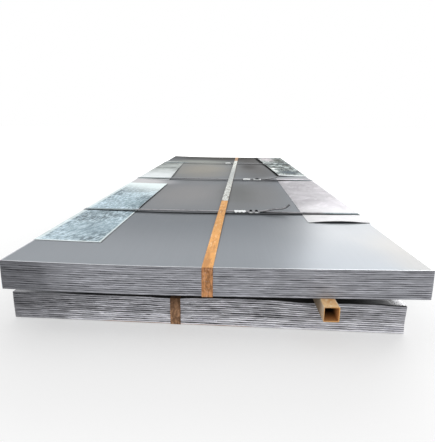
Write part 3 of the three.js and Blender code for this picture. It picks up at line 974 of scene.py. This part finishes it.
def wear_and_highlight_finish(name, middle, black, wear_and_shading, share):
    """Black strap with a painted highlight and wear along its back; share is the width they
    cover.
    """
    start = STRAP_WIDE * (0.5 - share)

    def build(net):
        x, y, _ = net.split(net.place)
        tint, rough, height = net.use(mill, Color=black, Cloud=0.3, Streak=0.1)
        # the back of the top carries a painted highlight with some wear, brightest at the back
        # edge
        amount = net.between(y - middle, start - 0.004, start + 0.002) * facing_up(net)
        amount = amount * net.lerp(net.use(flecks, Scale=38.0, Share=0.75)[0], 0.55, 1.0)
        edge = net.between(y - middle, 0.009, 0.014)
        bright = net.mix(edge, wear_and_shading, tuple(1.7 * v for v in wear_and_shading))
        # over the covers the painted highlight takes the covers' tone
        bright = net.mix(net.between(abs(x), 0.40, 0.44), bright, (0.32, 0.38, 0.40))
        return net.mix(amount, tint, bright), rough + 0.4, height, STRAP_BUMP

    return finish_material(name, build)


class STACK_OT_straps(bpy.types.Operator):
    """Finishes the steel straps"""

    bl_idname = "stack.straps"
    bl_label = "Straps"

    def execute(self, context):
        c = context.scene.stack_straps
        along = (1.0, 0.25, 1.0)
        fresh = ((0.86, 0.58, 0.33), c.rust, (0.50, 0.24, 0.09))
        old = shades(c.dark_rust, 1.3, 0.5)
        dull = through([(0.10, 0.15, 0.4, 0.70, 0.2, (0.36, 0.38, 0.38), 0.75)])
        dress("upper_long_strap", rust_finish("strap_rust", fresh, upper_strap_wear_and_shade, along))
        dress("lower_long_strap", rust_finish("strap_dark_rust", old, lower_strap_wear_and_shade, along))
        dress(
            "upper_strap_zinc_length",
            flecked_finish("strap_zinc", c.zinc, (0.25, 0.24, 0.22), 75.0, 0.5, 0.2, dull),
        )
        for pack in ("upper", "lower"):
            for number, share in ((1, 0.75), (2, 0.6), (3, 0.7)):
                node = "%s_cross_strap_%d" % (pack, number)
                low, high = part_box(node)
                dress(node, wear_and_highlight_finish(node, (low.y + high.y) / 2, c.black, c.wear_and_shading, share))
        return {"FINISHED"}


class STACK_OT_tubes(bpy.types.Operator):
    """Finishes the rusty square tubes"""

    bl_idname = "stack.tubes"
    bl_label = "Tube Spacers"

    def execute(self, context):
        c = context.scene.stack_tubes
        tones = ((1.0, 0.86, 0.62), c.rust, c.dark)
        for node in ("tube_left", "tube_right"):
            low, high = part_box(node)
            half = (high - low) / 2
            wear_and_shade = tube_wear_and_shade((low + high) / 2, half.x - c.wall / 2, half.y)
            finish = rust_finish(node + "_rust", tones, wear_and_shade, gloss=0.45, smooth_top=0.36)
            dress(node, finish)
        return {"FINISHED"}


# ---- seals ----


def ring(half_wide, half_high, radius, steps=3):
    """A rounded rectangle round the origin, anticlockwise from its right side."""
    points = []
    for turn, (side, up) in enumerate(((1, 1), (-1, 1), (-1, -1), (1, -1))):
        for i in range(steps + 1):
            angle = math.radians(90 * (turn + i / steps))
            y = side * (half_wide - radius) + radius * math.cos(angle)
            points.append((y, up * (half_high - radius) + radius * math.sin(angle)))
    return points


def made_object(name, mesh):
    """A linked object with a bmesh as its mesh."""
    data = bpy.data.meshes.new(name)
    mesh.to_mesh(data)
    mesh.free()
    return linked(bpy.data.objects.new(name, data))


def tube_mesh(name, sections):
    """A closed wall from sections, each an outer and an inner loop of matched points."""
    mesh = bmesh.new()
    outer, inner = ([[mesh.verts.new(p) for p in pair[k]] for pair in sections] for k in (0, 1))
    rows = outer + inner[::-1]
    for a, b in zip(rows, rows[1:] + rows[:1]):
        for corners in zip(a, a[1:] + a[:1], b[1:] + b[:1], b):
            mesh.faces.new(corners)
    bmesh.ops.recalc_face_normals(mesh, faces=mesh.faces)
    return made_object(name, mesh)


def seal_sections(low, high, wall, notch, arch, lobes, phase):
    """Sections of a crimped sleeve along X; its top is bowed up in a number of lobes."""
    middle, half = (low + high) / 2, (high - low) / 2
    sections = []
    for s in range(SECTIONS + 1):
        t = s / SECTIONS
        x = low.x + 2 * half.x * t
        lift = arch * math.sin(math.pi * lobes * t) ** 2
        crimp = max(0.0, math.cos(2 * math.pi * CRIMPS * t + phase)) ** 0.6
        up = 1 if math.sin(math.pi * CRIMPS * t + phase) > 0 else 0
        loops = []
        for inset in (0.0, wall):
            corner = SEAL_CORNER - inset * 0.9
            loop = []
            for y, z in ring(half.y - inset, half.z - inset, corner):
                side = abs(y) / half.y
                pinch = notch * crimp * max(0.0, side - 0.6) / 0.4
                bowed = middle.z + z + up * 0.6 * pinch
                if z > 0:
                    bowed += lift * (1 - 0.35 * side)
                loop.append(Vector((x, middle.y + y - math.copysign(pinch, y), bowed)))
            loops.append(loop)
        sections.append(loops)
    return sections


def scaled(a, b):
    return Vector(x * y for x, y in zip(a, b))


class STACK_OT_seals(bpy.types.Operator):
    """Builds the crimped strap seals"""

    bl_idname = "stack.seals"
    bl_label = "Strap Seals"

    def execute(self, context):
        sizes = context.scene.stack_seals
        zinc, steel, fleck = sizes.colour, (0.30, 0.30, 0.31), (0.3, 0.3, 0.3)
        # shadow and grey paint shade: in the seals' open mouths and on the front wall of seal_1a
        shadow, grey = (0.012, 0.012, 0.014), (0.25, 0.25, 0.26)
        hole, strip = (0.30, 1.3, 1.5), (0.20, 0.6, 1.0)

        # name, shares of the notch and the arch, lobes, phase, colour, and marks as (centre,
        # reach, colour) in shares of the seal's box
        for name, notch, arch, lobes, phase, colour, marks in (
            ("seal_1a", 1.0, 0.0, 1, 0.4, zinc, (((0.65, -0.1, 0.0), (0.55, 0.3, 0.7), grey),)),
            (
                "seal_1b", 0.2, 1.2, 2, 2.0, steel,
                (
                    ((0.24, 0.6, 2.2), hole, shadow),
                    ((0.75, 0.6, 2.2), hole, shadow),
                    ((0.24, 0.0, 0.5), strip, zinc),
                    ((0.75, 0.0, 0.5), strip, zinc),
                ),
            ),
            ("seal_2a", 0.2, 0.2, 1, 1.1, zinc, ()),
            ("seal_2b", 0.2, 1.6, 1, 0.0, zinc, (((0.5, 0.7, 2.4), (0.8, 1.3, 1.9), shadow),)),
            ("seal_3", 0.15, 0.5, 1, 0.0, zinc, ()),
        ):
            low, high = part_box(name)
            size = high - low
            spots = [
                (low + scaled(centre, size), scaled(reach, size), 0.1, tone, 2.5)
                for centre, reach, tone in marks
            ]
            sections = seal_sections(
                low, high, sizes.wall, sizes.notch * notch, sizes.arch * arch, lobes, phase
            )
            piece = tube_mesh(name + "_crimped", sections)
            piece.data.materials.append(
                flecked_finish(name + "_zinc", colour, fleck, 240.0, 0.15, 0.0, spots)
            )
            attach(piece, "root")
            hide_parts(name)
        return {"FINISHED"}


# ---- stage ----


def seen_directly(net):
    """1 for camera, mirror and see-through rays, and 0 for the light that falls on things."""
    rays = ("Is Camera Ray", "Is Glossy Ray", "Is Transmission Ray")
    camera, glossy, clear = (net.get("ShaderNodeLightPath", None, ray) for ray in rays)
    return net.larger(net.larger(camera, glossy), clear)


def white_world(ambient):
    """Lights the object at the ambient level and looks white to the camera and in gloss."""
    world = bpy.data.worlds.new("studio")
    world.use_nodes = True
    net = Net(world.node_tree)
    background = world.node_tree.nodes["Background"].inputs
    net.feed(background["Color"], (1, 1, 1))
    net.feed(background["Strength"], net.between(seen_directly(net), 0.0, 1.0, ambient, 1.0))
    bpy.context.scene.world = world


def floor_material(colour):
    """Takes the object's soft shadow and glows white around it, fully so from 5 m out."""
    material = bpy.data.materials.new("studio_floor")
    material.use_nodes = True
    nodes = material.node_tree.nodes
    nodes.remove(nodes["Principled BSDF"])
    net = Net(material.node_tree)
    far = net.length(net.get("ShaderNodeTexCoord", None, "Object"))
    white = seen_directly(net) * net.between(far, 2.0, 5.0, 1.0 - colour[0], 1.0)
    matt = net.get("ShaderNodeBsdfDiffuse", {"Color": colour})
    glow = net.get("ShaderNodeEmission", {"Color": (1, 1, 1), "Strength": white})
    both = net.get("ShaderNodeAddShader", {0: matt, 1: glow})
    net.feed(nodes["Material Output"].inputs["Surface"], both)
    return material


def soft_lamp(name, place, target, size, power, in_gloss=True):
    """A rectangular lamp that the camera doesn't see, aimed at a target."""
    lamp = bpy.data.lights.new(name, "AREA")
    lamp.shape = "RECTANGLE"
    lamp.size, lamp.size_y = size
    lamp.energy = power
    holder = linked(bpy.data.objects.new(name, lamp))
    holder.location = place
    aim = Vector(target) - Vector(place)
    holder.rotation_euler = aim.to_track_quat("-Z", "Y").to_euler()
    holder.visible_camera = False
    holder.visible_glossy = in_gloss


class STACK_OT_stage(bpy.types.Operator):
    """Sets the camera, the soft lights and the pale floor"""

    bl_idname = "stack.stage"
    bl_label = "Stage"

    def execute(self, context):
        values = context.scene.stack_stage
        camera = bpy.data.cameras.new("camera")
        camera.sensor_width = 36.0
        camera.lens = values.lens
        camera.clip_end = 200.0
        holder = linked(bpy.data.objects.new("camera", camera))
        turn = (
            Matrix.Rotation(values.yaw, 4, "Z")
            @ Matrix.Rotation(math.pi / 2 - values.pitch, 4, "X")
            @ Matrix.Rotation(values.roll, 4, "Z")
        )
        holder.matrix_world = Matrix.Translation(values.camera_place) @ turn
        context.scene.camera = holder

        mesh = bmesh.new()
        bmesh.ops.create_grid(mesh, x_segments=1, y_segments=1, size=40.0)
        floor = made_object("floor", mesh)
        floor.data.materials.append(floor_material(values.floor))
        floor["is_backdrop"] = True

        white_world(values.ambient)
        soft_lamp("key", (0, 0, 5.0), (0, 0, 0), (8.0, 9.0), values.key, False)
        soft_lamp("fill", (0.2, -6.2, 1.3), (0, -1.9, 0.12), (5.0, 1.4), values.fill, False)
        soft_lamp("panel", (3.6, 4.2, 2.9), (0.4, -1.4, 0.23), (4.6, 3.0), values.panel)
        soft_lamp("band", (-1.7, 6.5, 3.8), (-0.4, -1.7, 0.23), (8.6, 2.4), values.band)
        context.scene.view_settings.view_transform = "Standard"
        return {"FINISHED"}


# ---- add-on ----

STEPS = [
    STACK_OT_stage,
    STACK_OT_upper_pack,
    STACK_OT_lower_pack,
    STACK_OT_covers,
    STACK_OT_straps,
    STACK_OT_tubes,
    STACK_OT_seals,
]


class STACK_PT_panel(bpy.types.Panel):
    """Lists the steps of the plate stack and their values"""

    bl_label = "Strapped Steel Plates"
    bl_idname = "STACK_PT_panel"
    bl_space_type = "VIEW_3D"
    bl_region_type = "UI"
    bl_category = "Plates"

    def draw(self, context):
        for step in STEPS:
            self.layout.operator(step.bl_idname)
        for name, group in GROUPS.items():
            box = self.layout.box()
            for key in group.__annotations__:
                box.prop(getattr(context.scene, name), key)


def register():
    for name, group in GROUPS.items():
        bpy.utils.register_class(group)
        setattr(bpy.types.Scene, name, PointerProperty(type=group))
    for step in (*STEPS, STACK_PT_panel):
        bpy.utils.register_class(step)


def unregister():
    for step in (STACK_PT_panel, *reversed(STEPS)):
        bpy.utils.unregister_class(step)
    for name, group in GROUPS.items():
        delattr(bpy.types.Scene, name)
        bpy.utils.unregister_class(group)


def plain(box):
    """A box as two lists of rounded numbers."""
    return [[round(float(v), 5) for v in corner] for corner in box]


def main():
    register()
    for step in STEPS:
        getattr(bpy.ops.stack, step.bl_idname.split(".")[1])()
    {"cad_box": plain(CAD_BOX), "visual_box": plain(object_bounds())}


if __name__ == "__main__":
    main()
